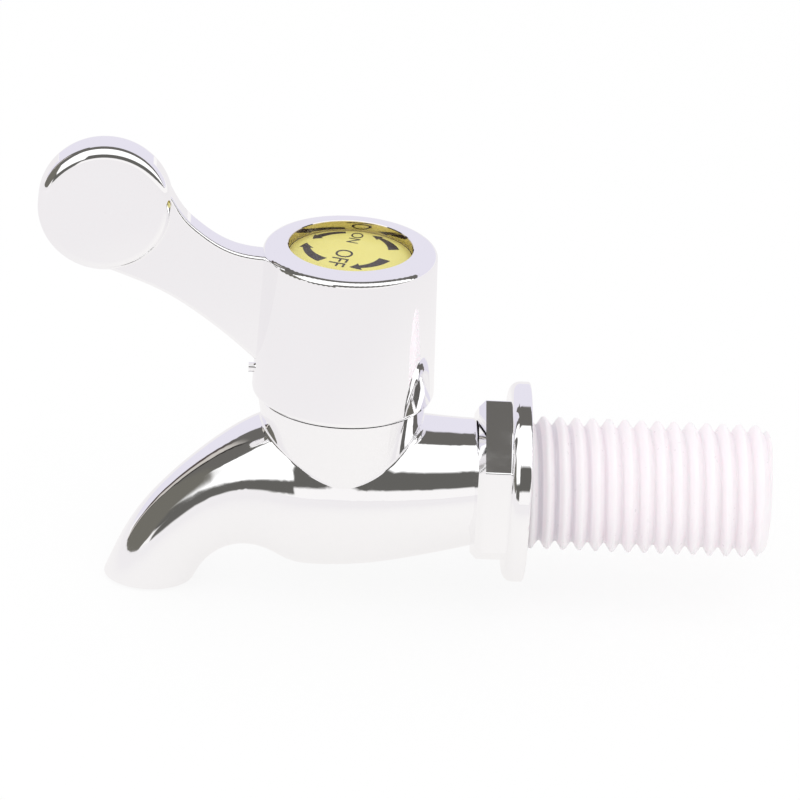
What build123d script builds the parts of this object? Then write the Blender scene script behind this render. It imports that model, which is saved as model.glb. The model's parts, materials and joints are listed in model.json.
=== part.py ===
from build123d import *
import os
from math import cos, exp, radians, sin

# Bottle tap with a quarter-turn lever handle, in millimetres.
# The origin is on the tail's axis at the back of the wall flange.
# +X runs out along the threaded tail, +Z points up, and the spout points to -X.

# Layout
valve_offset = 23.0
neck_height = 11.0
spout_reach = 22.6
spout_drop = 14.2

# Clearances
running_gap = 0.04
static_gap = 0.05
loose_gap = 0.3
overrun = 1.0

# Outer surface of the spout body
belly_radius = 10.0
belly_sag = 1.3
belly_squeeze = 0.04
belly_ahead = 3.15
spout_radius = 5.1
neck_draft = 1.95
crease_fillet = 0.5
hexagon_flats = 18.7
hexagon_length = 3.8
hexagon_bevel = 0.8
hexagon_edge_fillet = 0.3
flange_radius = 12.25
flange_thickness = 2.5
flange_front_fillet = 1.3
flange_back_fillet = 0.25
belly_to_shank = 21.5
belly_to_spout = 9.85
shank_base = 6.0
body_sections = 17
# Centre line: shares of the shank's length and of the belly's sag, then of the reach and the drop
shank_line_shares = ((1.06, -0.08), (0.48, 0.72))
spout_line_shares = ((0.35, 0.102), (0.646, 0.272), (0.894, 0.650), (1.0, 1.0), (1.036, 1.15))

# Waterway
inlet_radius = 4.6
throat_radius = 2.7
throat_level = 6.2
way_radius = 3.3
outlet_radius = 4.1
outlet_depth = 6.0
# Each station: share of the way from the seat out to the socket, share of the throat's depth,
# share of the widening from the throat to the inlet
inlet_shares = (
    (1.0, 0.0, 1.0),
    (0.78, 0.22, 0.80),
    (0.58, 0.57, 0.42),
    (0.41, 0.86, 0.12),
    (0.23, 1.0, 0.0),
    (-0.15, 1.0, 0.0),
)
# Each station: share of the reach, share of the drop, share of the widening to the outlet
way_shares = (
    (0.17, -0.20, 0.0),
    (0.30, -0.14, 0.0),
    (0.42, 0.02, 0.0),
    (0.54, 0.17, 0.0),
    (0.655, 0.29, 0.0),
    (0.76, 0.42, 0.15),
    (0.85, 0.555, 0.45),
)

# Threaded tail
tail_length = 29.6
thread_radius = 8.1
thread_depth = 1.05
thread_pitch = 2.0
thread_crest = 0.3
thread_root = 0.12
tail_bore_radius = 4.75
tail_end_chamfer = 1.0
tail_seat_depth = 0.5
spigot_radius = 6.35
socket_depth = 5.6
tail_gasket_thickness = 0.9
tail_gasket_bore = 5.0

# Cartridge
floor_level = -1.0
disc_radius = 5.4
disc_thickness = 1.6
port_inner_radius = 1.5
port_outer_radius = 4.4
port_angle = 72
key_width = 1.6
key_depth = 0.7
seat_gasket_thickness = 1.1
seat_gasket_bore = 4.6
housing_wall = 0.6
chamber_gap = 0.1
collar_step = 1.2
collar_thickness = 1.8
ring_land = 2.2
housing_ring_radius = 0.58
housing_foot_gap = 0.4
window_height = 3.2
window_width = 5.2
stop_height = 3.1

# Stem
stem_radius = 3.5
stem_flange_thickness = 1.5
stem_lug_height = 3.2
stem_lug_angle = 30
stem_ring_radius = 0.44
stem_ring_spacing = 1.9
stem_square = 5.0
stem_top_gap = 0.1
screw_hole_radius = 1.25
screw_hole_depth = 9.5
quarter_turn = 90
stop_slack = 1.5

# Gland
spigot_wall = 1.5
spigot_height = 5.4
gland_flats = 13.0
gland_hexagon_height = 1.8
gland_bore_gap = 0.1
slip_washer_thickness = 0.5
slip_washer_width = 1.1
clip_thickness = 0.7
clip_depth = 0.6
clip_width = 1.4
clip_opening = 4.2

# Handle cap
skirt_gap = 0.35
skirt_wall = 1.8
skirt_taper = 0.55
skirt_bottom_fillet = 0.7
cap_height = 19.3
cap_top_fillet = 0.8
cap_slope = 0.5
rim_land = 0.4
seam_gap = 0.2
window_radius = 7.5
window_depth = 1.55
window_chamfer = 0.1
deck_thickness = 2.0
boss_radius = 5.6
pocket_radius = 3.3
pocket_depth = 3.4
socket_web = 0.9
stem_grip = 5.3
square_gap = 0.06

# Lever and finger puck
blade_thickness = 3.6
blade_edge_fillet = 0.5
lever_reach = 29.6
lever_rise = 34.7
puck_radius = 8.05
puck_thickness = 6.2
puck_edge_fillet = 1.6
puck_dome = 0.35
nub_radius = 0.6
nub_height = 0.5
nub_level = 13.9
# Points of the blade's edges: share of the lever's reach, share of the rise above the neck
blade_top_shares = (
    (0.30, 0.766),
    (0.385, 0.770),
    (0.47, 0.791),
    (0.547, 0.835),
    (0.615, 0.895),
    (0.669, 0.955),
    (0.716, 1.038),
    (0.757, 1.131),
)
blade_bottom_shares = (
    (1.125, 0.722),
    (1.047, 0.692),
    (0.97, 0.660),
    (0.882, 0.620),
    (0.784, 0.570),
    (0.686, 0.504),
    (0.584, 0.418),
    (0.483, 0.321),
    (0.382, 0.212),
    (0.30, 0.122),
)

# Window parts and handle screw
label_thickness = 0.25
lens_thickness = 0.85
window_fit = 0.06
screw_head_radius = 2.6
screw_head_height = 1.9
screw_radius = 1.2
screw_length = 9.0
screw_slot_width = 0.7
screw_slot_depth = 0.9
screw_slot_share = 1.3
screw_washer_radius = 2.9
screw_washer_thickness = 0.5

# Levels and radii that follow from the sizes above
housing_bore = disc_radius + chamber_gap
housing_radius = housing_bore + housing_wall
chamber_radius = housing_radius + chamber_gap
counterbore_radius = chamber_radius + collar_step
neck_spigot_radius = counterbore_radius + spigot_wall
skirt_bore = neck_spigot_radius + skirt_gap
skirt_radius = skirt_bore + skirt_wall
cap_radius = skirt_radius - skirt_taper
neck_radius = skirt_radius - skirt_bottom_fillet
gasket_top = floor_level + seat_gasket_thickness
fixed_top = gasket_top + disc_thickness
moving_bottom = fixed_top + running_gap
moving_top = moving_bottom + disc_thickness
stem_flange_top = moving_top + stem_flange_thickness
stem_lug_top = stem_flange_top + stem_lug_height
roof_level = stem_lug_top + loose_gap
collar_bottom = roof_level + ring_land
collar_top = collar_bottom + collar_thickness
spigot_top = neck_height + spigot_height
gland_shoulder = spigot_top + static_gap
gland_top = gland_shoulder + gland_hexagon_height
clip_bottom = collar_top + slip_washer_thickness + static_gap
gland_pocket_top = clip_bottom + clip_thickness + loose_gap
skirt_bottom = neck_height + seam_gap
cap_top = skirt_bottom + cap_height
window_floor = cap_top - window_depth
pocket_floor = window_floor - pocket_depth
socket_roof = pocket_floor - socket_web
stem_top = socket_roof - stem_top_gap
boss_bottom = socket_roof - stem_grip
stem_shoulder = boss_bottom - static_gap
guide_radius = stem_radius + running_gap
flange_front = -flange_thickness
hexagon_front = flange_front - hexagon_length
shank_length = valve_offset + hexagon_front
socket_radius = spigot_radius + static_gap
lever_lift = lever_rise - neck_height
housing_ring_level = (roof_level + collar_bottom) / 2
housing_ring_centre = chamber_radius - static_gap / 2 - housing_ring_radius
housing_groove_radius = housing_ring_centre - housing_ring_radius - static_gap / 2
guide_middle = (roof_level + collar_top) / 2
stem_ring_levels = (guide_middle - stem_ring_spacing / 2, guide_middle + stem_ring_spacing / 2)
stem_ring_centre = guide_radius - running_gap / 2 - stem_ring_radius
stem_groove_radius = stem_ring_centre - stem_ring_radius - running_gap / 2
clip_seat_radius = stem_radius - clip_depth
slip_washer_radius = stem_radius + gland_bore_gap + slip_washer_width


def at_valve(shape, level=0):
    """Moves a shape made about Z to the valve's axis at a height."""
    return Pos(-valve_offset, 0, level) * shape


def column(radius, low, high):
    """A cylinder about Z between two heights."""
    return Pos(0, 0, (low + high) / 2) * Cylinder(radius, high - low)


def ring(outer, inner, low, high):
    """A flat ring about Z between two heights."""
    return column(outer, low, high) - column(inner, low - overrun, high + overrun)


def along_x(shape):
    """Turns a shape made about Z so that its axis runs along +X."""
    return Rot(0, 90, 0) * shape


def o_ring(centre_radius, section_radius, level):
    """A round rubber ring lying flat at a height."""
    return Pos(0, 0, level) * Torus(centre_radius, section_radius)


def sector(inner, outer, angle, low, high):
    """A wedge of a ring about Z, centred on +X, with straight radial sides."""
    half = radians(angle / 2)
    across = 2 * outer * cos(half)
    aside = 2 * outer * sin(half)
    wedge = Polygon((0, 0), (across, -aside), (across, aside), align=None)
    return Pos(0, 0, low) * extrude(wedge, high - low) & ring(outer, inner, low, high)


def keys(radius, low, high, gap):
    """Two square keys across a disc's rim, wider and deeper by the gap."""
    wide = key_width + 2 * gap
    tall = high - low
    bar = Box(2 * (radius + overrun), wide, tall)
    bar -= Box(2 * (radius - key_depth - gap), wide + overrun, tall + overrun)
    return Pos(0, 0, (low + high) / 2) * bar


def ports(low, high):
    """Two opposite sector ports through a disc, centred on the X axis."""
    one = sector(port_inner_radius, port_outer_radius, port_angle, low, high)
    return one + Rot(0, 0, 180) * one


def tube(stations):
    """A smooth solid through circles whose centres lie in the XZ plane."""
    sections = []
    last = len(stations) - 1
    for index, (x, z, radius) in enumerate(stations):
        before = stations[max(index - 1, 0)]
        after = stations[min(index + 1, last)]
        ahead = (after[0] - before[0], 0, after[1] - before[1])
        sections.append(Plane(origin=(x, 0, z), x_dir=(0, 1, 0), z_dir=ahead) * Circle(radius))
    return loft(sections)


def centre_line():
    """Smooth line through the middle of the body, from the hexagon to past the outlet."""
    points = [(out * shank_length, -sag * belly_sag) for out, sag in shank_line_shares]
    points.append((0, -belly_sag))
    points += [(-out * spout_reach, -drop * spout_drop) for out, drop in spout_line_shares]
    return Spline(*[(x - valve_offset, 0, z) for x, z in points])


def skin_radius(distance):
    """Radius at a distance along the line from the widest place, positive towards the spout."""
    if distance > 0:
        return spout_radius + (belly_radius - spout_radius) * exp(-((distance / belly_to_spout) ** 2))
    return shank_base + (belly_radius - shank_base) * exp(-((distance / belly_to_shank) ** 2))


def make_skin():
    """The body's outer skin, lofted through ellipses evenly spaced along the centre line."""
    line = centre_line()
    middle = line.length * line.param_at_point((-valve_offset, 0, -belly_sag)) + belly_ahead
    sections = []
    for index in range(body_sections):
        share = index / (body_sections - 1)
        distance = share * line.length - middle
        radius = skin_radius(distance)
        half_width = radius * (1 - belly_squeeze * exp(-((distance / belly_to_spout) ** 2)))
        across = Plane(origin=line @ share, x_dir=(0, 1, 0), z_dir=line % share)
        sections.append(across * Ellipse(half_width, radius))
    return loft(sections)


def inlet_stations():
    """Centres and radii of the passage from the tail socket to below the seat."""
    socket_distance = valve_offset - socket_depth
    stations = []
    for out, drop, widen in inlet_shares:
        radius = throat_radius + widen * (inlet_radius - throat_radius)
        stations.append((out * socket_distance - valve_offset, -drop * throat_level, radius))
    return stations


def spout_end():
    """The outlet's centre on the horizontal cut, and the unit direction of the water there."""
    line = centre_line()
    centre = Vector(-valve_offset - spout_reach, 0, -spout_drop)
    ahead = line % line.param_at_point(centre)
    return (centre.X, centre.Z), (ahead.X, ahead.Z)


def way_stations():
    """Centres and radii of the passage from the valve chamber to the outlet's straight bore."""
    stations = []
    for out, drop, widen in way_shares:
        radius = way_radius + widen * (outlet_radius - way_radius)
        stations.append((-out * spout_reach - valve_offset, -drop * spout_drop, radius))
    (x, z), (ahead_x, ahead_z) = spout_end()
    start = outlet_depth - overrun / 2
    stations.append((x - start * ahead_x, z - start * ahead_z, outlet_radius))
    return stations


def make_neck():
    """Solid cone of the neck, about the valve's axis, from the tail's axis up to the seam."""
    foot_radius = neck_radius - neck_draft
    corners = ((0, 0), (foot_radius, 0), (neck_radius, neck_height), (0, neck_height))
    return at_valve(revolve(Plane.XZ * Polygon(*corners, align=None), Axis.Z))


def make_hexagon():
    """Solid hexagon with a bevelled front, standing on a corner, with an overrun into the flange."""
    flat = RegularPolygon(hexagon_flats / 2, 6, major_radius=False)
    hexagon = extrude(flat, hexagon_length + overrun)
    hexagon = chamfer(hexagon.faces().sort_by(Axis.Z)[0].edges(), hexagon_bevel)
    hexagon = fillet(hexagon.edges().filter_by(Axis.Z), hexagon_edge_fillet)
    return Pos(hexagon_front, 0, 0) * along_x(hexagon)


def make_flange():
    """Solid round wall flange with a full front rim and a flat back."""
    flange = along_x(column(flange_radius, flange_front, 0))
    flange = fillet(flange.edges().group_by(Axis.X)[0], flange_front_fillet)
    return fillet(flange.edges().group_by(Axis.X)[-1], flange_back_fillet)


def make_spout_body():
    """Neck, belly, spout, hexagon and flange in one moulding, with the waterway inside."""
    body = make_skin() + make_neck()
    long_edges = body.edges().filter_by(lambda edge: edge.bounding_box().size.Y > belly_radius)
    body = fillet(long_edges.filter_by(GeomType.CIRCLE, reverse=True), crease_fillet)
    below = (Align.CENTER, Align.CENTER, Align.MAX)
    beyond_mouth = Box(spout_reach, 4 * spout_radius, 2 * spout_radius, align=below)
    body -= Pos(-valve_offset - spout_reach, 0, -spout_drop) * beyond_mouth
    body += make_hexagon()
    body += make_flange()
    body += at_valve(column(neck_spigot_radius, 0, spigot_top))
    body -= at_valve(column(chamber_radius, floor_level, spigot_top + overrun))
    body -= at_valve(column(counterbore_radius, collar_bottom, spigot_top + overrun))
    body -= at_valve(column(throat_radius, -throat_level, floor_level + overrun))
    body -= along_x(column(socket_radius, -socket_depth, overrun))
    body -= along_x(column(thread_radius + static_gap, -tail_seat_depth, overrun))
    body -= tube(inlet_stations())
    body -= tube(way_stations())
    (x, z), (ahead_x, ahead_z) = spout_end()
    bore_plane = Plane(origin=(x, 0, z), x_dir=(0, 1, 0), z_dir=(ahead_x, 0, ahead_z))
    body -= bore_plane * column(outlet_radius, -outlet_depth, outlet_radius + overrun)
    return body


def groove_turn():
    """One turn of the helical groove between the thread's crests, about Z, rising from zero."""
    path = Helix(thread_pitch, thread_pitch, thread_radius)
    half_root = thread_root / 2
    half_mouth = (thread_pitch - thread_crest) / 2
    beyond = thread_crest / 2
    half_top = half_mouth + (half_mouth - half_root) * beyond / thread_depth
    groove = Polygon(
        (-thread_depth, -half_root),
        (beyond, -half_top),
        (beyond, half_top),
        (-thread_depth, half_root),
        align=None,
    )
    plane = Plane(origin=path @ 0, x_dir=(1, 0, 0), z_dir=path % 0)
    return sweep(plane * groove, path=path, is_frenet=True)


def make_tail_pipe():
    """Threaded pipe, its groove cut turn by turn, with a plain spigot that sits in the socket."""
    pipe = column(thread_radius, -tail_seat_depth, tail_length)
    pipe = chamfer(pipe.edges().group_by(Axis.Z)[-1], tail_end_chamfer)
    turn = groove_turn()
    first = -tail_seat_depth - 2 * thread_pitch
    turns = int((tail_length - first) / thread_pitch) + 2
    pipe -= [Pos(0, 0, first + index * thread_pitch) * turn for index in range(turns)]
    pipe += column(spigot_radius, tail_gasket_thickness - socket_depth, overrun)
    pipe -= column(tail_bore_radius, -socket_depth, tail_length + overrun)
    return along_x(pipe)


def make_tail_gasket():
    """Flat ring at the bottom of the tail's socket."""
    outer_face = tail_gasket_thickness - socket_depth
    return along_x(ring(spigot_radius, tail_gasket_bore, -socket_depth, outer_face))


def make_seat_gasket():
    """Flat ring under the fixed disc."""
    return at_valve(ring(disc_radius, seat_gasket_bore, floor_level, gasket_top))


def make_fixed_disc():
    """Ceramic disc with two ports, held by two keys of the housing."""
    disc = column(disc_radius, gasket_top, fixed_top)
    disc -= ports(gasket_top - overrun, fixed_top + overrun)
    disc -= Rot(0, 0, 90) * keys(disc_radius, gasket_top - overrun, fixed_top + overrun, static_gap)
    return at_valve(disc)


def make_moving_disc():
    """Ceramic disc whose ports are a quarter turn away from the fixed ones, so the tap is shut."""
    disc = column(disc_radius, moving_bottom, moving_top)
    disc -= Rot(0, 0, 90) * ports(moving_bottom - overrun, moving_top + overrun)
    disc -= keys(disc_radius, moving_bottom - overrun, moving_top + overrun, static_gap)
    return at_valve(disc)


def make_cartridge_housing():
    """Sleeve round the discs, with side windows, a roof that guides the stem, stops and a collar."""
    foot = floor_level + housing_foot_gap
    body = column(housing_radius, foot, collar_top)
    body -= column(housing_bore, foot - overrun, roof_level)
    above = (Align.CENTER, Align.CENTER, Align.MIN)
    slot = Box(2 * chamber_radius, window_width, window_height, align=above)
    for turn in (45, 135):
        body -= Pos(0, 0, moving_top) * Rot(0, 0, turn) * slot
    inner_keys = Rot(0, 0, 90) * keys(disc_radius, gasket_top, fixed_top, 0)
    body += inner_keys & column(housing_radius, foot, roof_level)
    stop_bottom = roof_level - stop_height
    stop = ring(housing_bore + housing_wall / 2, stem_radius + loose_gap, stop_bottom, roof_level)
    free_angle = quarter_turn + stem_lug_angle + 2 * stop_slack
    free = sector(stem_radius, housing_radius + overrun, free_angle, stop_bottom - overrun, roof_level)
    body += stop - Rot(0, 0, 180 + quarter_turn / 2) * free
    body += column(counterbore_radius - static_gap, collar_bottom, collar_top)
    body -= column(guide_radius, foot, collar_top + overrun)
    groove_low = housing_ring_level - housing_ring_radius - static_gap
    groove_high = housing_ring_level + housing_ring_radius + static_gap
    body -= ring(chamber_radius, housing_groove_radius, groove_low, groove_high)
    return at_valve(body)


def make_housing_ring():
    """O-ring between the housing and the body."""
    return at_valve(o_ring(housing_ring_centre, housing_ring_radius, housing_ring_level))


def make_valve_stem():
    """Stem with drive dogs, open flange, stop lug, ring grooves, clip groove and square top."""
    stem = column(disc_radius, moving_top, stem_flange_top)
    dogs = keys(disc_radius, moving_bottom, moving_top, 0)
    stem += dogs & column(disc_radius, moving_bottom, moving_top)
    stem -= Rot(0, 0, 90) * ports(moving_bottom, stem_flange_top + overrun)
    stem += column(stem_radius, moving_top, stem_shoulder)
    lug = sector(stem_radius - overrun, disc_radius - loose_gap, stem_lug_angle, moving_top, stem_lug_top)
    stem += Rot(0, 0, 180) * lug
    square = Box(stem_square, stem_square, stem_top - stem_shoulder + overrun)
    square &= Cylinder(stem_radius, stem_top - stem_shoulder + overrun)
    stem += Pos(0, 0, (stem_top + stem_shoulder - overrun) / 2) * square
    for level in stem_ring_levels:
        low = level - stem_ring_radius - static_gap
        high = level + stem_ring_radius + static_gap
        stem -= ring(stem_radius + overrun, stem_groove_radius, low, high)
    clip_top = clip_bottom + clip_thickness
    stem -= ring(stem_radius + overrun, clip_seat_radius, clip_bottom - running_gap, clip_top + running_gap)
    stem -= column(screw_hole_radius, stem_top - screw_hole_depth, stem_top + overrun)
    return at_valve(stem)


def make_stem_ring(level):
    """O-ring in one of the stem's grooves."""
    return at_valve(o_ring(stem_ring_centre, stem_ring_radius, level))


def make_slip_washer():
    """Low-friction washer between the housing's collar and the clip."""
    bore = stem_radius + gland_bore_gap
    return at_valve(ring(slip_washer_radius, bore, collar_top, collar_top + slip_washer_thickness))


def make_stem_clip():
    """Open spring clip in the stem's groove, which stops the stem from dropping."""
    outer = clip_seat_radius + clip_width
    clip = ring(outer, clip_seat_radius + running_gap, clip_bottom, clip_bottom + clip_thickness)
    mouth = Box(2 * outer, clip_opening, 2 * clip_thickness, align=(Align.MIN, Align.CENTER, Align.CENTER))
    clip -= Pos(0, 0, clip_bottom + clip_thickness / 2) * mouth
    return at_valve(clip)


def make_gland_nut():
    """Nut in the neck that clamps the cartridge down, with a hexagon on top."""
    nut = column(counterbore_radius - static_gap, collar_top, gland_shoulder)
    hexagon = extrude(RegularPolygon(gland_flats / 2, 6, major_radius=False), gland_hexagon_height)
    nut += Pos(0, 0, gland_shoulder) * hexagon
    nut -= column(stem_radius + gland_bore_gap, collar_top - overrun, gland_top + overrun)
    nut -= column(slip_washer_radius + loose_gap, collar_top - overrun, gland_pocket_top)
    return at_valve(nut)


def outline_points(shares):
    """Points of the lever's edge in the XZ plane, from shares of its reach and lift."""
    return [(-out * lever_reach, neck_height + up * lever_lift) for out, up in shares]


def make_blade():
    """The lever's flat arm, about the valve's axis, with rounded long edges."""
    top = outline_points(blade_top_shares)
    bottom = outline_points(blade_bottom_shares)
    tip = (-lever_reach, lever_rise)
    inside_puck = Polyline(top[-1], tip, bottom[0])
    outline = Spline(*top) + inside_puck + Spline(*bottom) + Line(bottom[-1], top[0])
    blade = extrude(Plane.XZ * make_face(outline), blade_thickness / 2, both=True)
    for side in (0, -1):
        rim = blade.faces().sort_by(Axis.Y)[side].edges().filter_by(GeomType.BSPLINE)
        blade = fillet(rim, blade_edge_fillet)
    return blade


def make_puck():
    """The round finger puck, domed on both faces, about its own centre with its axis along Y."""
    half = puck_thickness / 2
    flat = puck_radius - puck_edge_fillet
    shoulder = half - puck_dome
    turn = puck_edge_fillet * cos(radians(45))
    knee = shoulder - puck_edge_fillet
    dome = ThreePointArc((0, half), (flat / 2, half - puck_dome / 4), (flat, shoulder))
    edge = ThreePointArc((flat, shoulder), (flat + turn, knee + turn), (puck_radius, knee))
    inner = Polyline((puck_radius, knee), (puck_radius, 0), (0, 0), (0, half))
    side = revolve(make_face(dome + edge + inner), Axis.Y)
    return side + mirror(side, about=Plane.XZ)


def make_cap():
    """Solid tapered cap, about the valve's axis: its top slopes down from the window's rim."""
    corners = (
        (0, skirt_bottom),
        (skirt_radius, skirt_bottom),
        (cap_radius, cap_top - cap_slope),
        (window_radius + rim_land, cap_top),
        (0, cap_top),
    )
    cap = revolve(Plane.XZ * Polygon(*corners, align=None), Axis.Z)
    circles = cap.edges().filter_by(GeomType.CIRCLE).sort_by(Axis.Z)
    cap = fillet(circles[1], cap_top_fillet)
    return fillet(cap.edges().group_by(Axis.Z)[0], skirt_bottom_fillet)


def make_handle():
    """Cap, lever and puck in one moulding, hollow round the neck, with a square socket for the stem."""
    handle = make_cap() + make_blade() + Pos(-lever_reach, 0, lever_rise) * make_puck()
    nub = column(nub_radius, -nub_height, nub_height)
    handle += Pos(-skirt_radius, 0, nub_level) * Rot(0, -90, 0) * nub
    roof = window_floor - deck_thickness
    handle -= column(skirt_bore, skirt_bottom - overrun, roof) - column(boss_radius, boss_bottom, roof)
    handle -= column(window_radius, window_floor, cap_top + overrun)
    handle -= column(pocket_radius, pocket_floor, window_floor + overrun)
    handle -= column(screw_radius + loose_gap, socket_roof - overrun, pocket_floor + overrun)
    socket_side = stem_square + 2 * square_gap
    socket = Box(socket_side, socket_side, stem_grip + overrun)
    handle -= Pos(0, 0, (socket_roof + boss_bottom - overrun) / 2) * socket
    lip = Cone(window_radius, window_radius + window_chamfer, window_chamfer)
    handle -= Pos(0, 0, cap_top - window_chamfer / 2) * lip
    return at_valve(handle)


def make_handle_screw():
    """Pan-head screw with a cross slot, down through the deck into the stem."""
    head_bottom = pocket_floor + screw_washer_thickness
    head_top = head_bottom + screw_head_height
    screw = column(screw_head_radius, head_bottom, head_top)
    screw = fillet(screw.edges().group_by(Axis.Z)[-1], screw_head_height / 3)
    below = (Align.CENTER, Align.CENTER, Align.MAX)
    slot = Box(screw_slot_share * screw_head_radius, screw_slot_width, screw_slot_depth, align=below)
    for turn in (0, 90):
        screw -= Pos(0, 0, head_top) * Rot(0, 0, turn) * slot
    screw += column(screw_radius, head_bottom - screw_length, head_bottom)
    return at_valve(screw)


def make_screw_washer():
    """Washer under the screw's head."""
    washer_top = pocket_floor + screw_washer_thickness
    return at_valve(ring(screw_washer_radius, screw_radius + static_gap, pocket_floor, washer_top))


def make_label_disc():
    """Printed disc on the floor of the window's recess."""
    return at_valve(column(window_radius - window_fit, window_floor, window_floor + label_thickness))


def make_window_lens():
    """Clear cover over the label."""
    low = window_floor + label_thickness
    return at_valve(column(window_radius - window_fit, low, low + lens_thickness))


pieces = {
    "spout_body": make_spout_body(),
    "tail_pipe": make_tail_pipe(),
    "tail_gasket": make_tail_gasket(),
    "seat_gasket": make_seat_gasket(),
    "fixed_disc": make_fixed_disc(),
    "moving_disc": make_moving_disc(),
    "cartridge_housing": make_cartridge_housing(),
    "housing_ring": make_housing_ring(),
    "valve_stem": make_valve_stem(),
    "stem_ring_lower": make_stem_ring(stem_ring_levels[0]),
    "stem_ring_upper": make_stem_ring(stem_ring_levels[1]),
    "slip_washer": make_slip_washer(),
    "stem_clip": make_stem_clip(),
    "gland_nut": make_gland_nut(),
    "handle": make_handle(),
    "handle_screw": make_handle_screw(),
    "screw_washer": make_screw_washer(),
    "label_disc": make_label_disc(),
    "window_lens": make_window_lens(),
}

os.makedirs("parts", exist_ok=True)
for name, shape in pieces.items():
    export_step(shape, f"parts/{name}.step")
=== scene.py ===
# %% [markdown]
# # A chromed bottle tap with a lever handle
# The tap is a plastic moulding plated with bright chrome, on a milky threaded tail that goes
# through the wall of a bottle. The packed CAD parts are the frame, in metres. They keep their
# places, and this script gives each one its finish, its print and its light.

import json
import math

import bmesh
import bpy
import numpy as np
from mathutils import Matrix, Vector


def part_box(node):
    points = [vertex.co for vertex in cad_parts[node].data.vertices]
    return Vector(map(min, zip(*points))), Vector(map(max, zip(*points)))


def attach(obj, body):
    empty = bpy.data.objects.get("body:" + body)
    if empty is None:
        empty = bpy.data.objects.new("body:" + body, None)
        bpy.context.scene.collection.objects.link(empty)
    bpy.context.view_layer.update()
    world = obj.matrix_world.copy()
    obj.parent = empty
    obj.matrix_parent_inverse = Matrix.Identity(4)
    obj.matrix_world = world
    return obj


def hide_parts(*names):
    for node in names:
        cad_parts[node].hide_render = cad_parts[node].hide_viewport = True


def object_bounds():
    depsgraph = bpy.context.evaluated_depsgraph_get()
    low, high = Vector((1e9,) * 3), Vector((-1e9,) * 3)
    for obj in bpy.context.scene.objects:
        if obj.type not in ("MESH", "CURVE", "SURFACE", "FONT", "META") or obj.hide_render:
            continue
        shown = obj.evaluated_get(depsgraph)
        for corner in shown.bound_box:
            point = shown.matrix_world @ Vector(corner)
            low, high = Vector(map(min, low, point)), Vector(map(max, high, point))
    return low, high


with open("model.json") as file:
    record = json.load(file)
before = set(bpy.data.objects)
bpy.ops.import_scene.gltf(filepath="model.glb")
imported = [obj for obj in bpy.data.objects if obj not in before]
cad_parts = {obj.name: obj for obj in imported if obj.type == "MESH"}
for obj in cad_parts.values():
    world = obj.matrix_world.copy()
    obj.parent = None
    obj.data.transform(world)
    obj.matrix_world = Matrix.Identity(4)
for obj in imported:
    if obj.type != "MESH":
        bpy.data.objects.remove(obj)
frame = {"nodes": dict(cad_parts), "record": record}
cad_box = [list(corner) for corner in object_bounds()]
MM = 0.001
print("CAD box in mm:", [[round(x / MM, 2) for x in corner] for corner in cad_box])

# %% [markdown]
# The camera stands in front of the tap and looks down at it by 25 degrees. A long lens keeps the
# tap's two ends nearly the same size, as in a catalogue picture taken from some way off. The tap
# rests on its mouth and its flange there, so it leans by a few degrees, and here the camera is
# rolled by the same angle while the tap stays level.

# %% Camera
def add_object(name, data):
    """A new object at the scene's origin that holds a mesh, a lamp or a camera."""
    added = bpy.data.objects.new(name, data)
    bpy.context.scene.collection.objects.link(added)
    return added


valve_axis = Vector((-23 * MM, 0, 0))
azimuth, elevation, roll = (math.radians(x) for x in (-2.62, 24.98, 3.50))
distance = 733 * MM
# The picture's middle in millimetres, from where the valve's axis crosses the tail's
middle_right, middle_up = 7.58, 9.05
back = Vector((
    math.sin(azimuth) * math.cos(elevation),
    -math.cos(azimuth) * math.cos(elevation),
    math.sin(elevation),
))
level_right = Vector((math.cos(azimuth), math.sin(azimuth), 0))
level_up = back.cross(level_right)
right = level_right * math.cos(roll) + level_up * math.sin(roll)
up = level_up * math.cos(roll) - level_right * math.sin(roll)
place = valve_axis + right * middle_right * MM + up * middle_up * MM + back * distance

camera_lens = bpy.data.cameras.new("camera")
camera_lens.sensor_width = 36
camera_lens.lens = 270
camera_lens.clip_start = 0.01
camera_lens.clip_end = 50
camera = add_object("camera", camera_lens)
camera.matrix_world = Matrix.Translation(place) @ Matrix((right, up, back)).transposed().to_4x4()
bpy.context.scene.camera = camera
bpy.context.scene.view_settings.view_transform = "Standard"
print("camera at", [round(x, 4) for x in place])

# %% [markdown]
# Materials are trees of nodes, and a sum of two patterns is one node for each sign. Written as
# Python expressions they read like the formula instead: a small class wraps a socket, and its
# operators add the Math nodes.

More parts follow.
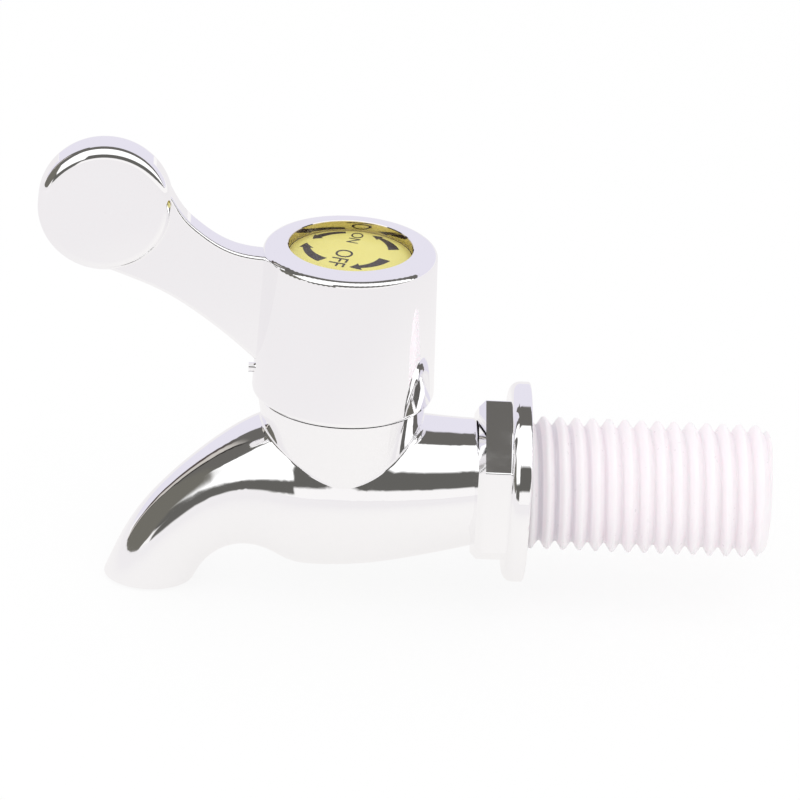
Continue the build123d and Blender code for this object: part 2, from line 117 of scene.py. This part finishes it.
# %% Shader sums as Python expressions
class Wire:
    """One output of a node, or the result of a sum, on its way to another node."""

    def __init__(self, tree, socket):
        self.tree = tree
        self.socket = socket

    def maths(self, operation, *values):
        settings = {"operation": operation}
        return self.tree.add("ShaderNodeMath", settings, dict(enumerate(values)))

    def __add__(self, other):
        return self.maths("ADD", self, other)

    __radd__ = __add__

    def __sub__(self, other):
        return self.maths("SUBTRACT", self, other)

    def __rsub__(self, other):
        return self.maths("SUBTRACT", other, self)

    def __mul__(self, other):
        return self.maths("MULTIPLY", self, other)

    __rmul__ = __mul__

    def __truediv__(self, other):
        return self.maths("DIVIDE", self, other)

    def __neg__(self):
        return self.maths("MULTIPLY", self, -1.0)

    def over(self, limit):
        """How far the value is above a limit, or 0 where it is below."""
        return self.maths("MAXIMUM", self - limit, 0.0)

    def away(self, other):
        """The distance of a point from an axis, where the two values are its places across it."""
        return self.maths("SQRT", self * self + other * other)

    def angle(self, other):
        """The angle in degrees of a point that lies this far up and the other value along."""
        return self.maths("ARCTAN2", self, other) * (180 / math.pi)

    def along(self, axis):
        """How far a vector reaches along an axis of length 1."""
        settings = {"operation": "DOT_PRODUCT"}
        return self.tree.add("ShaderNodeVectorMath", settings, {0: self, 1: axis}, 1)

    def step(self, low, high):
        """0 below low and 1 above high, with a soft slope between."""
        settings = {"interpolation_type": "SMOOTHSTEP"}
        sockets = {"Value": self, "From Min": low, "From Max": high}
        return self.tree.add("ShaderNodeMapRange", settings, sockets)


reflected = [name for name in vars(Wire) if name.startswith("__r")]
print("a wire may also stand on the right of a number:", reflected)

# %% [markdown]
# Every other kind of node comes from one method, which takes the node's type, its settings and
# the values or wires of its sockets. A tree has short names for the few kinds that come back in
# each material, such as clouds of noise, a bump and the surface itself.

# %% Trees of nodes
class Tree:
    """The nodes of one material or of the world."""

    def __init__(self, owner):
        owner.use_nodes = True
        self.tree = owner.node_tree
        self.tree.nodes.clear()

    def add(self, kind, settings=None, sockets=None, output=0):
        """Adds a node: its settings first, then a value or a wire for each named socket."""
        node = self.tree.nodes.new(kind)
        for name, value in (settings or {}).items():
            if name == "stops":
                self.set_stops(node.color_ramp, value)
            else:
                setattr(node, name, value)
        for name, value in (sockets or {}).items():
            if isinstance(value, Wire):
                self.tree.links.new(value.socket, node.inputs[name])
            else:
                node.inputs[name].default_value = value
        return Wire(self, node.outputs[output]) if node.outputs else None

    def set_stops(self, ramp, stops):
        """Puts (position, colour) stops on a ramp."""
        while len(ramp.elements) < len(stops):
            ramp.elements.new(0.5)
        for element, (position, colour) in zip(ramp.elements, stops):
            element.position = position
            element.color = (*colour, 1)

    def mix(self, share, first, second):
        """One colour passing into another as the share goes from 0 to 1."""
        first, second = ((*c, 1) if isinstance(c, tuple) else c for c in (first, second))
        return self.add("ShaderNodeMix", {"data_type": "RGBA"}, {0: share, 6: first, 7: second}, 2)

    def noise(self, scale, detail=2.0, roughness=0.5, stretch=(1, 1, 1)):
        """Cloudy values from 0 to 1, with scale clouds to the metre."""
        point = self.add("ShaderNodeTexCoord", output="Object")
        if stretch != (1, 1, 1):
            point = self.add("ShaderNodeMapping", None, {"Vector": point, "Scale": stretch})
        sockets = {"Vector": point, "Scale": scale, "Detail": detail, "Roughness": roughness}
        return self.add("ShaderNodeTexNoise", None, sockets)

    def axes(self):
        """The X, Y and Z of the point on the object, in metres."""
        point = self.add("ShaderNodeTexCoord", output="Object")
        return [self.add("ShaderNodeSeparateXYZ", None, {0: point}, axis) for axis in range(3)]

    def ray(self, kind):
        """1 for light paths of one kind, such as Camera or Glossy, and 0 for the others."""
        return self.add("ShaderNodeLightPath", output=f"Is {kind} Ray")

    def bump(self, height, strength, depth):
        """A bent normal from a height of 0 to 1 that stands for depth metres."""
        sockets = {"Height": height, "Strength": strength, "Distance": depth}
        return self.add("ShaderNodeBump", None, sockets)

    def surface(self, **sockets):
        """A principled surface, its sockets named in words with underscores."""
        named = {name.replace("_", " "): value for name, value in sockets.items()}
        return self.add("ShaderNodeBsdfPrincipled", None, named)

    def show(self, shader, output="ShaderNodeOutputMaterial"):
        """Joins a finished shader to the output of the material or the world."""
        self.add(output, None, {"Surface": shader})


print("short names of a tree:", [name for name in vars(Tree) if not name.startswith("_")])

# %% [markdown]
# Chrome has no colour of its own: what one sees is the room. A picture of some other room would
# put its bands in other places, so each band in the photograph was traced back by the law of
# reflection, r = d - 2(d.n)n, to the direction that its light came from, and the room is a sum
# over directions. A direction is measured as the turn, which is 0 level in front, 90 straight up
# and 180 level behind, and as the reach to the left from -1 to 1.

# %% Directions in the studio
room_up = up * math.cos(elevation) + back * math.sin(elevation)
room_ahead = room_up.cross(right)
world = bpy.data.worlds.new("studio")
bpy.context.scene.world = world
sky = Tree(world)
direction = sky.add("ShaderNodeTexCoord", output="Generated")
across, ahead, height = (direction.along(axis) for axis in (right, room_ahead, room_up))
turn = height.angle(-ahead)
leftward = -across


def room_ramp(angle, *stops):
    """Colours over an angle in degrees, from -180 to 180."""
    stops = [(degrees / 360 + 0.5, colour) for degrees, colour in stops]
    return sky.add("ShaderNodeValToRGB", {"stops": stops}, {"Fac": angle / 360 + 0.5})


print("the room's up is", [round(x, 3) for x in room_up])

# %% [markdown]
# On the right, the room is a row of bands over the turn: a white table below, a dark room in
# front, a white softbox overhead, a dark gap behind it and a cool white backdrop.

# %% Right side of the room
def shade(red, green, blue):
    """A screen colour of 0 to 255 as the light value that renders to it."""
    return tuple(
        c / 12.92 if c <= 0.04045 else ((c + 0.055) / 1.055) ** 2.4
        for c in (red / 255, green / 255, blue / 255)
    )


table_white = shade(252, 250, 250)
room_dark = shade(99, 98, 95)
# Brighter than 1, so that its mirror image is still white after the plate's tint
softbox_white = (1.25, 1.25, 1.25)
gap_grey = shade(104, 102, 99)
backdrop_white = shade(232, 229, 241)
right_room = room_ramp(
    turn,
    (13, table_white), (15, room_dark), (41, room_dark), (45, softbox_white),
    (92.5, softbox_white), (94, gap_grey), (121, gap_grey), (124, backdrop_white),
)
print("right side of the room:", len(sky.tree.nodes), "nodes so far")

# %% [markdown]
# On the left the table and the softbox's front edge both come lower, and at the far left they are
# lifted again. The dark gap behind the softbox widens towards that side, and a shiny frame in it
# slants down. A grey wall ends the room there, above the table, and a white card stands in front
# of it.

# %% Left side of the room
wall_grey = shade(112, 110, 103)
frame_black, frame_light, frame_brown = shade(44, 41, 40), shade(205, 200, 194), shade(84, 74, 72)
far_lift = 14
lifted = turn - leftward.step(0.78, 0.86) * far_lift
left_room = room_ramp(
    lifted, (2, table_white), (5, room_dark), (22, room_dark), (26, softbox_white)
)
# A slant is a number of degrees of turn for a reach of 1 more to the left
behind_box = (turn + 33 * leftward.over(0.45)).step(92, 94.5)
left_room = sky.mix(behind_box, left_room, gap_grey)
wall = leftward.step(0.83, 0.87) * height.step(0.0, 0.03)
left_room = sky.mix(wall, left_room, wall_grey)
slanted = turn - 45 * leftward.over(0.45) - 60 * leftward.over(0.65) - 400 * leftward.over(0.85)
shiny_frame = room_ramp(
    slanted,
    (97, gap_grey), (99, frame_black), (103, frame_black), (106, frame_light),
    (117, frame_light), (120, frame_brown),
)
left_room = sky.mix(leftward.step(0.60, 0.72) * slanted.step(95, 97), left_room, shiny_frame)
left_room = sky.mix(slanted.step(129, 132), left_room, backdrop_white)
# The card's top edge falls towards the side
card = leftward.step(0.79, 0.83) * (1 - (height + 1.2 * leftward).step(1.12, 1.15))
left_room = sky.mix(card, left_room, table_white)
room = sky.mix(leftward.step(0.27, 0.30), right_room, left_room)
print("left side of the room:", len(sky.tree.nodes), "nodes so far")

# %% [markdown]
# Only the chrome and the clear lens should mirror this room. The camera sees plain white round
# the tap, as a catalogue's cut-out has it, and matt surfaces get the same light from everywhere,
# so that the dark bands don't stain the plastic.

# %% What each kind of ray sees
matt_light = (0.96, 0.96, 0.96)
plain_white = (1.0, 1.0, 1.0)
seen = sky.mix(sky.ray("Glossy"), matt_light, room)
seen = sky.mix(sky.ray("Camera"), seen, plain_white)
glow = sky.add("ShaderNodeBackground", None, {"Color": seen, "Strength": 1.0})
sky.show(glow, "ShaderNodeOutputWorld")
print("world:", world.name, "with", len(sky.tree.nodes), "nodes")

# %% [markdown]
# The even light alone would leave matt plastic flat, so two square lamps give it a bright side
# and a soft shadow. They don't show in the chrome, where the room already has its softbox.

# %% Lamps
lamp_aim = Vector((-0.01, 0, 0))


def softbox(name, place, width, watts):
    """A square lamp that is turned to the tap, lights matt surfaces and isn't mirrored."""
    light = bpy.data.lights.new(name, "AREA")
    light.shape = "SQUARE"
    light.size = width
    light.energy = watts
    lamp = add_object(name, light)
    turned = (lamp_aim - Vector(place)).to_track_quat("-Z", "Y").to_matrix().to_4x4()
    lamp.matrix_world = Matrix.Translation(place) @ turned
    lamp.visible_glossy = False


# Places and widths in metres, then watts
softbox("softbox_top", (0.05, -0.12, 0.55), 0.5, 0.35)
softbox("softbox_left", (-0.50, -0.25, 0.30), 0.4, 0.45)
print("lamps:", [light.name for light in bpy.data.lights])

# %% [markdown]
# The floor is a pale sheet just under the mouth. The camera and the mirror rays see most of it
# as plain white, and the rest is a matt surface that keeps the tap's soft shadow. Seen in the
# chrome, the sheet is brightest under the tap and a little greyer some way off.

# %% Floor
def new_material(name):
    """An empty material and its tree."""
    material = bpy.data.materials.new(name)
    return material, Tree(material)


floor_level = cad_box[0][2] - 0.3 * MM
half_floor = 1.5
bright_edge, grey_edge = 25 * MM, 110 * MM
plain_share = 0.85

corners = [(-1, -1), (1, -1), (1, 1), (-1, 1)]
sheet_corners = [(x * half_floor, y * half_floor, floor_level) for x, y in corners]
floor_mesh = bpy.data.meshes.new("floor")
floor_mesh.from_pydata(sheet_corners, [], [(0, 1, 2, 3)])
floor = add_object("floor", floor_mesh)

paper, sheet = new_material("paper_floor")
mirror_ray = sheet.ray("Glossy")
x, y = sheet.axes()[:2]
near, far = shade(249, 247, 246), shade(239, 236, 238)
mirrored = sheet.mix(x.away(y).step(bright_edge, grey_edge), near, far)
white = sheet.mix(mirror_ray, plain_white, mirrored)
plain = sheet.add("ShaderNodeEmission", None, {"Color": white, "Strength": 1.0})
paper_colour = sheet.mix(sheet.noise(900.0), (0.92, 0.92, 0.92), (0.96, 0.96, 0.96))
matt = sheet.add("ShaderNodeBsdfDiffuse", None, {"Color": paper_colour})
share = (sheet.ray("Camera") + mirror_ray + sheet.ray("Transmission")) * plain_share
sheet.show(sheet.add("ShaderNodeMixShader", None, {0: share, 1: matt, 2: plain}))
floor_mesh.materials.append(paper)
print("floor at", round(floor_level / MM, 2), "mm")

# %% [markdown]
# Plated plastic mirrors nearly as well as solid metal, but its surface is softer: it waves a
# little over each centimetre where the moulding shrank, and has a fine peel like paint. Both are
# a few thousandths of a millimetre high at most, so they go into the bump. The plating stops at
# the mouth, and inside it the bare grey plastic shows. In the window's well the plating is
# tinted darker and browner. Both places are found by their distance from an axis, so
# that the solid needs no cuts in its mesh.

# %% Chrome plate
mouth_x, mouth_z = -45.6 * MM, -14.2 * MM
mouth_lean_x, mouth_lean_z = -0.365, -0.931
# Each pair is where a soft edge begins and ends: the bore is straight for about 6 mm
bore_edge, bore_end = (4.15 * MM, 4.3 * MM), (5.6 * MM, 6.2 * MM)
well_edge, well_floor = (7.54 * MM, 7.58 * MM), (28.9 * MM, 29.0 * MM)


def chrome_plate():
    """Mirror chrome with shrink waves, a fine peel and faint handling marks."""
    material, tree = new_material("chrome_plate")
    waves = tree.noise(90.0, 1.0)
    peel = tree.noise(1600.0, 2.0)
    marks = tree.noise(240.0, 4.0, 0.6)
    film = tree.noise(60.0, 3.0)
    x, y, z = tree.axes()
    from_mouth_x, from_mouth_z = x - mouth_x, z - mouth_z
    aside = from_mouth_x * mouth_lean_z - from_mouth_z * mouth_lean_x
    deep = -(from_mouth_x * mouth_lean_x + from_mouth_z * mouth_lean_z)
    inside = (1 - aside.away(y).step(*bore_edge)) * (1 - deep.step(*bore_end))
    well = (1 - (x - valve_axis.x).away(y).step(*well_edge)) * z.step(*well_floor)
    tint = tree.mix(film, (0.955, 0.955, 0.96), (0.98, 0.975, 0.98))
    # The plating in the window's well is tinted darker and browner
    tint = tree.mix(well, tint, (0.62, 0.54, 0.38))
    shine = tree.surface(
        Base_Color=tree.mix(inside, tint, (0.55, 0.55, 0.56)),
        Metallic=1 - inside,
        Roughness=0.03 + marks.step(0.45, 0.8) * 0.05 + inside * 0.3,
        Normal=tree.bump(0.9 * waves + 0.1 * peel, 0.25, 0.02 * MM),
    )
    tree.show(shine)
    return material


chrome = chrome_plate()
print("made", chrome.name, "with", len(chrome.node_tree.nodes), "nodes")

# %% [markdown]
# The tail is moulded in polypropylene, which is milky: light goes in, spreads and comes out
# nearby. A share of subsurface light does that, with a reach of 1.6 millimetres where the wall
# is 2.3 thick under its grooves. Flow lines from the mould run along it, and it is faintly pink.
# In the first grooves beside the flange a grey painted shade stands for the dark flange that they
# mirror.

# %% Tail plastic
groove_bottom, groove_side = (6.7 * MM, 6.9 * MM), (7.2 * MM, 7.5 * MM)
# How far from the flange the painted groove shade reaches, and how strong it is
groove_shade_reach = (2 * MM, 13 * MM)
groove_shade_strength = 0.55


def tail_plastic():
    """Milky plastic with flow lines along the pipe, a waxy surface and painted shade in the grooves
    by the flange.
    """
    material, tree = new_material("tail_plastic")
    flow = tree.noise(160.0, 3.0, 0.55, (0.35, 1, 1))
    grain = tree.noise(1400.0, 2.0)
    x, y, z = tree.axes()
    from_axis = y.away(z)
    groove = from_axis.step(*groove_bottom) * (1 - from_axis.step(*groove_side))
    # Painted shade in the grooves next to the flange, standing for the dark flange that they mirror
    film = groove * (1 - x.step(*groove_shade_reach)) * groove_shade_strength
    colour = tree.mix(flow, (0.955, 0.88, 0.92), (0.98, 0.915, 0.945))
    body = tree.surface(
        Base_Color=tree.mix(film, colour, (0.66, 0.65, 0.70)),
        Roughness=grain * 0.12 + 0.24,
        Normal=tree.bump(grain * 0.4 + flow * 0.6, 0.15, 0.03 * MM),
        Subsurface_Weight=0.5,
        Subsurface_Radius=(1.0, 0.85, 0.9),
        Subsurface_Scale=1.6 * MM,
        IOR=1.49,
    )
    tree.show(body)
    return material


milky = tail_plastic()
print("made", milky.name, "with", len(milky.node_tree.nodes), "nodes")

# %% [markdown]
# The thread is the part of the tail that the eye rests on, and its crests are rounded by the
# mould. A bump can't change an outline, so the tail is a computed surface. It starts as one
# profile in millimetres, from the bore over the end and the thread to the socket, whose corners
# are rounded by small arcs and whose long sides get points for the thread to use.

# %% Tail profile
def rounded(corners, radii, steps=5):
    """The corner points of a closed outline, each replaced by a small arc: the point on the
    curve a(1-t)^2 + 2ct(1-t) + bt^2, where c is the corner and a and b lie a radius away."""
    corners, reach = np.array(corners, float), np.array(radii)[:, None]
    before, after = np.roll(corners, 1, 0) - corners, np.roll(corners, -1, 0) - corners
    start = corners + before / np.linalg.norm(before, axis=1)[:, None] * reach
    end = corners + after / np.linalg.norm(after, axis=1)[:, None] * reach
    t = np.linspace(0, 1, steps)[None, :, None]
    arcs = start[:, None] * (1 - t) ** 2 + corners[:, None] * 2 * t * (1 - t) + end[:, None] * t**2
    return arcs.reshape(-1, 2)


def densified(outline, spacing):
    """A closed outline with points added so that none are further apart than the spacing."""
    closed = np.vstack((outline, outline[:1]))
    length = np.linalg.norm(np.diff(closed, axis=0), axis=1)
    walked = np.concatenate(([0], np.cumsum(length)))
    counts = np.maximum(np.ceil(length / spacing).astype(int), 1)
    sides = zip(walked, walked[1:], counts)
    marks = np.concatenate([np.linspace(a, b, n, endpoint=False) for a, b, n in sides])
    return np.stack([np.interp(marks, walked, closed[:, i]) for i in range(2)], 1)


tail_low, tail_high = (np.array(corner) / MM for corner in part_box("tail_pipe"))
# In millimetres, as the packed tail has them; the thread starts at the seat
thread_radius, bore_radius, spigot_radius = 8.1, 4.75, 6.35
seat, end_chamfer = -0.5, 1.0
corner_radii = (0.15, 0.15, 0.02, 0.02, 0.25, 0.25, 0.2)
grid_spacing = 0.13
tail_corners = rounded(
    (
        (tail_low[0], bore_radius),
        (tail_low[0], spigot_radius),
        (seat, spigot_radius),
        (seat, thread_radius),
        (tail_high[0] - end_chamfer, thread_radius),
        (tail_high[0], thread_radius - end_chamfer),
        (tail_high[0], bore_radius),
    ),
    corner_radii,
)
tail_outline = densified(tail_corners, grid_spacing)
print("tail profile:", len(tail_outline), "points")

# %% [markdown]
# The profile is carried round the axis, and the groove is cut into it by a wave that moves on by
# one pitch for each turn. The result is a grid that closes on itself both ways, so the pipe has
# no seam and no open end.

# %% Tail surface
# In millimetres: the pitch and depth, and how wide the crest and the root are
pitch, depth, crest, root = 2.0, 1.05, 0.3, 0.12
# The flank is partly a straight slope and partly a half wave
straight_share, wavy_share = 0.55, 0.45


def tail_surface(columns=160):
    """The tail as a function of the place along its outline and the angle round it. Where the
    outline lies outside the root radius, it is lowered to the thread: crest minus depth times a
    rounded ramp of the distance to the nearest crest, which moves one pitch for each turn."""
    along, radius = tail_outline[:, 0][:, None], tail_outline[:, 1][:, None]
    angle = np.linspace(0, 2 * np.pi, columns, endpoint=False)[None, :]
    phase = (along / pitch - angle / (2 * np.pi) + 0.5) % 1.0 - 0.5
    flank = (pitch - crest - root) / 2
    ramp = np.clip((np.abs(phase) * pitch - crest / 2) / flank, 0, 1)
    soft = straight_share * ramp + wavy_share * (0.5 - 0.5 * np.cos(np.pi * ramp))
    threaded = np.minimum(radius, thread_radius - depth * soft)
    has_thread = (radius > thread_radius - depth) & (along > seat)
    radius = np.where(has_thread, threaded, radius + 0 * angle)
    along = along + 0 * angle
    return np.stack((along, -radius * np.sin(angle), radius * np.cos(angle)), -1) * MM


def shell(name, points, faces, material, smooth):
    """A piece from an array of points and a list of faces, which are turned to face outwards."""
    mesh = bpy.data.meshes.new(name)
    mesh.from_pydata(points.reshape(-1, 3).tolist(), [], faces)
    bm = bmesh.new()
    bm.from_mesh(mesh)
    bmesh.ops.recalc_face_normals(bm, faces=bm.faces)
    bm.to_mesh(mesh)
    bm.free()
    mesh.polygons.foreach_set("use_smooth", np.full(len(mesh.polygons), smooth))
    mesh.materials.append(material)
    return add_object(name, mesh)


def closed_grid(name, points, material):
    """A smooth piece from an array (rows, columns, 3) that closes on itself both ways."""
    rows, columns = points.shape[:2]
    index = np.arange(rows * columns).reshape(rows, columns)
    next_row = np.roll(index, -1, 0)
    quads = np.stack((index, np.roll(index, -1, 1), np.roll(next_row, -1, 1), next_row), -1)
    return shell(name, points, quads.reshape(-1, 4).tolist(), material, True)


tail_points = tail_surface()
tail = closed_grid("threaded_tail", tail_points, milky)
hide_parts("tail_pipe")
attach(tail, "tap_body")
tail_across = float(np.ptp(tail_points[..., 1])) / MM
print("tail:", len(tail.data.polygons), "faces,", round(tail_across, 2), "mm across")

# %% [markdown]
# The label is a printed paper disc at the bottom of a well, under a clear lens. Its paper is matt
# and a little uneven, and its rim is darker and more golden with painted shade from the well's
# wall.

# %% Label paper
wall_shade_edge = (6.6 * MM, 7.4 * MM)


def label_paper():
    """Yellow printed paper: fine fibres, a weak mottle and a rim darkened by painted shade."""
    material, tree = new_material("label_paper")
    fibre = tree.noise(2400.0, 4.0, 0.6)
    mottle = tree.noise(260.0, 2.0)
    x, y = tree.axes()[:2]
    # Painted shade near the well's wall: the rim of the paper turns darker and more golden
    shaded_rim = (x - valve_axis.x).away(y).step(*wall_shade_edge)
    yellow = tree.mix(mottle, shade(245, 229, 126), shade(250, 236, 142))
    body = tree.surface(
        Base_Color=tree.mix(shaded_rim * 0.5, yellow, shade(205, 180, 70)),
        Roughness=fibre * 0.2 + 0.5,
        Normal=tree.bump(fibre, 0.2, 0.02 * MM),
    )
    tree.show(body)
    return material


yellow_paper = label_paper()
print("made", yellow_paper.name, "with", len(yellow_paper.node_tree.nodes), "nodes")

# %% [markdown]
# The print is four tapered arrows, two for each way of turning, and the words of a switch. It
# could be a pattern in the paper's material, but its edges would blur close up. So it is a layer
# of ink with a thickness of its own, which covers the paper a little unevenly.

# %% Printing ink
label_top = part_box("label_disc")[1].z
ink_gap, ink_thickness = 0.008 * MM, 0.012 * MM
ink_level = label_top + ink_gap
# The print sits a little behind the middle of the disc
print_middle = Vector((valve_axis.x, 1.45 * MM, 0))


def printing_ink():
    """Dark brown ink with a slightly uneven cover."""
    material, tree = new_material("printing_ink")
    cover = tree.noise(2600.0, 3.0)
    body = tree.surface(
        Base_Color=tree.mix(cover, shade(40, 25, 18), shade(60, 42, 33)),
        Roughness=cover * 0.2 + 0.4,
        Normal=tree.bump(cover, 0.1, 0.01 * MM),
    )
    tree.show(body)
    return material


ink = printing_ink()
print("ink from", round(ink_level / MM, 3), "to", round((ink_level + ink_thickness) / MM, 3), "mm")

# %% [markdown]
# An arrow is a surface of two parameters, along its arc and across it. Its inner and outer edge,
# each at the ink's top and bottom, make a tube of four sides that is closed at both ends.

# %% Arrows
# The head begins at this share of the arrow's length, and its tip is nearly sharp
head_start_share = 0.76
tip_width = 0.02
shaft_steps, head_steps = 24, 8


def capped_tube(name, points, material, smooth):
    """A piece from an array (sides, stations, 3): a tube of that many sides, closed at both
    ends by a flat face."""
    sides, stations = points.shape[:2]
    index = np.arange(sides * stations).reshape(sides, stations)
    around = np.roll(index, -1, 0)
    quads = np.stack((index[:, :-1], index[:, 1:], around[:, 1:], around[:, :-1]), -1)
    ends = [index[:, 0].tolist(), index[::-1, -1].tolist()]
    return shell(name, points, quads.reshape(-1, 4).tolist() + ends, material, smooth)


def turning_arrow(name, angles, radii, widths):
    """A bent arrow. Along it, the angle and the radius go evenly from the tail to the tip;
    across it, the radius goes from the inner to the outer edge, half the width away. The width
    goes evenly from the tail's to the neck's, then from the head's to the tip's."""
    tail_width, neck_width, head_width = widths
    shaft = np.linspace(0, head_start_share, shaft_steps)
    head = np.linspace(head_start_share, 1, head_steps)
    along = np.concatenate((shaft, head))
    width = np.concatenate((
        np.interp(shaft, (0, head_start_share), (tail_width, neck_width)),
        np.interp(head, (head_start_share, 1), (head_width, tip_width)),
    ))
    angle = np.radians(np.interp(along, (0, 1), angles))
    across_share = np.array([-0.5, 0.5])[:, None]
    reach = np.interp(along, (0, 1), radii) + across_share * width[None, :]
    x, y = reach * np.cos(angle), reach * np.sin(angle)
    bottom = np.stack((x, y, 0 * x), -1) * MM + np.array(print_middle) + np.array((0, 0, ink_level))
    top = bottom + np.array((0, 0, ink_thickness))
    # Ring of four edges: inner top, outer top, outer bottom, inner bottom
    return capped_tube(name, np.stack((top[0], top[1], bottom[1], bottom[0])), ink, False)


# Angles in degrees and radii, each at the tail and the tip, then widths at tail, neck and head
prints = [
    turning_arrow("arrow_off_right", (-29, -92), (4.7, 4.9), (1.5, 0.75, 1.9)),
    turning_arrow("arrow_off_left", (-138, -199), (4.55, 5.5), (1.55, 0.9, 1.7)),
    turning_arrow("arrow_on_right", (8, 60), (5.3, 5.45), (1.35, 0.5, 1.2)),
    turning_arrow("arrow_on_left", (95, 146), (5.4, 5.4), (0.5, 0.8, 1.4)),
]
print("printed", [piece.name for piece in prints])

# %% [markdown]
# The words come from Blender's own letters. They are made a mesh at once, and then their place
# is written into the mesh, so that the object itself stays at the origin.

# %% Words
reading_angle = -107


def printed_word(name, word, centre, size):
    """A word as a thin mesh on the label, its middle at a point of the print, in millimetres."""
    curve = bpy.data.curves.new(name, "FONT")
    curve.body = word
    curve.size = size * MM
    curve.align_x = "CENTER"
    curve.align_y = "CENTER"
    curve.extrude = ink_thickness / 2
    drawn = bpy.data.objects.new(name + "_drawn", curve)
    mesh = bpy.data.meshes.new_from_object(drawn)
    mesh.name = name
    bpy.data.objects.remove(drawn)
    lifted_by = Vector((0, 0, ink_level + ink_thickness / 2))
    place = print_middle + Vector((*centre, 0)) * MM + lifted_by
    turned = Matrix.Rotation(math.radians(reading_angle), 4, "Z")
    mesh.transform(Matrix.Translation(place) @ turned)
    mesh.materials.clear()
    mesh.materials.append(ink)
    return add_object(name, mesh)


prints += [
    printed_word("word_on", "ON", (0.6, 3.85), 2.1),
    printed_word("word_off", "OFF", (-1.25, -2.3), 3.0),
]
for piece in prints:
    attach(piece, "handle_group")
print("printed", len(prints), "pieces")

# %% [markdown]
# The lens is a clear round cover. A glass material would need many bounces of light to show the
# label, so the lens lets the light straight through and adds a mirror image on top, which is
# weak when one looks down on it and strong at a grazing angle.

# %% Lens plastic
def lens_acrylic():
    """Clear plastic: see-through in the middle of the view, mirror-like at a grazing angle."""
    material, tree = new_material("lens_acrylic")
    smear = tree.noise(180.0, 3.0, 0.6)
    clear = tree.add("ShaderNodeBsdfTransparent", None, {"Color": (0.97, 0.98, 0.975, 1)})
    rough = smear.step(0.5, 0.9) * 0.08 + 0.02
    mirror = {"Color": (1, 1, 1, 1), "Roughness": rough}
    gloss = tree.add("ShaderNodeBsdfAnisotropic", None, mirror)
    facing = tree.add("ShaderNodeLayerWeight", None, {"Blend": 0.5}, 1)
    share = 0.015 + 0.08 * facing * facing * facing
    tree.show(tree.add("ShaderNodeMixShader", None, {0: share, 1: clear, 2: gloss}))
    return material


acrylic = lens_acrylic()
print("made", acrylic.name, "with", len(acrylic.node_tree.nodes), "nodes")

# %% [markdown]
# The packed lens is a plain disc. A moulded one has a rounded edge that catches a thin line of
# light, and a top that is a little domed, so this surface takes its place.

# %% Window lens
lens_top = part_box("window_lens")[1].z
lens_gap = 0.02 * MM
lens_bottom = ink_level + ink_thickness + lens_gap
lens_radius, lens_edge, lens_dome = 7.42, 0.2, 0.12
pole_radius = 0.3


def lens_surface(columns=128, edge_steps=7, top_steps=24):
    """A round lens as a function of the step along its outline and the angle round it. The
    outline runs up the side, over an edge rounded by a quarter circle, and along a top whose
    height falls by dome times the square of the share of the radius."""
    turned = np.radians(np.linspace(0, 90, edge_steps))
    middle = lens_radius - lens_edge
    inward = np.linspace(middle, pole_radius, top_steps)[1:]
    reach = np.concatenate(([middle, lens_radius], middle + lens_edge * np.cos(turned), inward))
    high = lens_top / MM - lens_dome
    shoulder = high - lens_edge + lens_edge * np.sin(turned)
    cover = high + lens_dome * (1 - (inward / middle) ** 2)
    height = np.concatenate(([lens_bottom / MM] * 2, shoulder, cover))
    angle = np.linspace(0, 2 * np.pi, columns, endpoint=False)[:, None]
    x = valve_axis.x / MM + reach * np.cos(angle)
    return np.stack((x, reach * np.sin(angle), height + 0 * angle), -1) * MM


lens = capped_tube("domed_lens", lens_surface(), acrylic, True)
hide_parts("window_lens")
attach(lens, "handle_group")
print("lens from", round(lens_bottom / MM, 3), "to", round(lens_top / MM, 3), "mm")

# %% [markdown]
# The parts inside the tap don't show, but whoever takes the model apart sees them. Rubber,
# ceramic, moulded plastic and steel differ in how fine their grain is and how much they shine,
# so one recipe with a row of numbers for each is enough.

# %% Inner parts
def inner_finish(name, dark, light, grain, rough, relief, metal=0.0, stretch=(1, 1, 1)):
    """A surface that wanders between two colours, with a grain that also roughens it. There are
    grain clouds to the metre, and the relief is in millimetres."""
    material, tree = new_material(name)
    cloud = tree.noise(grain, 3.0, 0.55, stretch)
    speck = tree.noise(grain * 6, 2.0)
    body = tree.surface(
        Base_Color=tree.mix(cloud, dark, light),
        Metallic=metal,
        Roughness=speck * 0.15 + rough,
        Normal=tree.bump(cloud * 0.4 + speck * 0.6, 0.2, relief * MM),
    )
    tree.show(body)
    return material


# Two colours, grain, roughness and relief, and for the drawn steel its metal and its stretch
inner_rows = {
    "seal_rubber": ((0.018, 0.018, 0.019), (0.04, 0.04, 0.042), 700, 0.55, 0.03),
    "disc_ceramic": ((0.78, 0.76, 0.72), (0.87, 0.86, 0.82), 1500, 0.12, 0.004),
    "cartridge_plastic": ((0.70, 0.70, 0.67), (0.80, 0.80, 0.77), 500, 0.38, 0.02),
    "stem_plastic": ((0.47, 0.48, 0.51), (0.56, 0.57, 0.60), 600, 0.34, 0.02),
    "washer_plastic": ((0.84, 0.84, 0.80), (0.91, 0.91, 0.88), 450, 0.3, 0.02),
    "spring_steel": ((0.40, 0.40, 0.41), (0.55, 0.55, 0.56), 900, 0.22, 0.01, 1.0, (1, 1, 8)),
}
inner_finishes = {name: inner_finish(name, *row) for name, row in inner_rows.items()}
print("made", list(inner_finishes))

# %% [markdown]
# The record says which finish each packed part has. Each part comes with a plain material of that
# name, which is swapped for the finished one, and its mesh is otherwise left alone.

# %% Dress the packed parts
finishes = {
    "chrome_plate": chrome,
    "tail_plastic": milky,
    "label_paper": yellow_paper,
    "lens_acrylic": acrylic,
    **inner_finishes,
}
slots = {row["node"]: row["material_slot"] for row in frame["record"]["subparts"]}
for name, node in frame["nodes"].items():
    node.material_slots[0].material = finishes[slots[name]]
print("finished", len(slots), "parts with", len(finishes), "materials")

# %% [markdown]
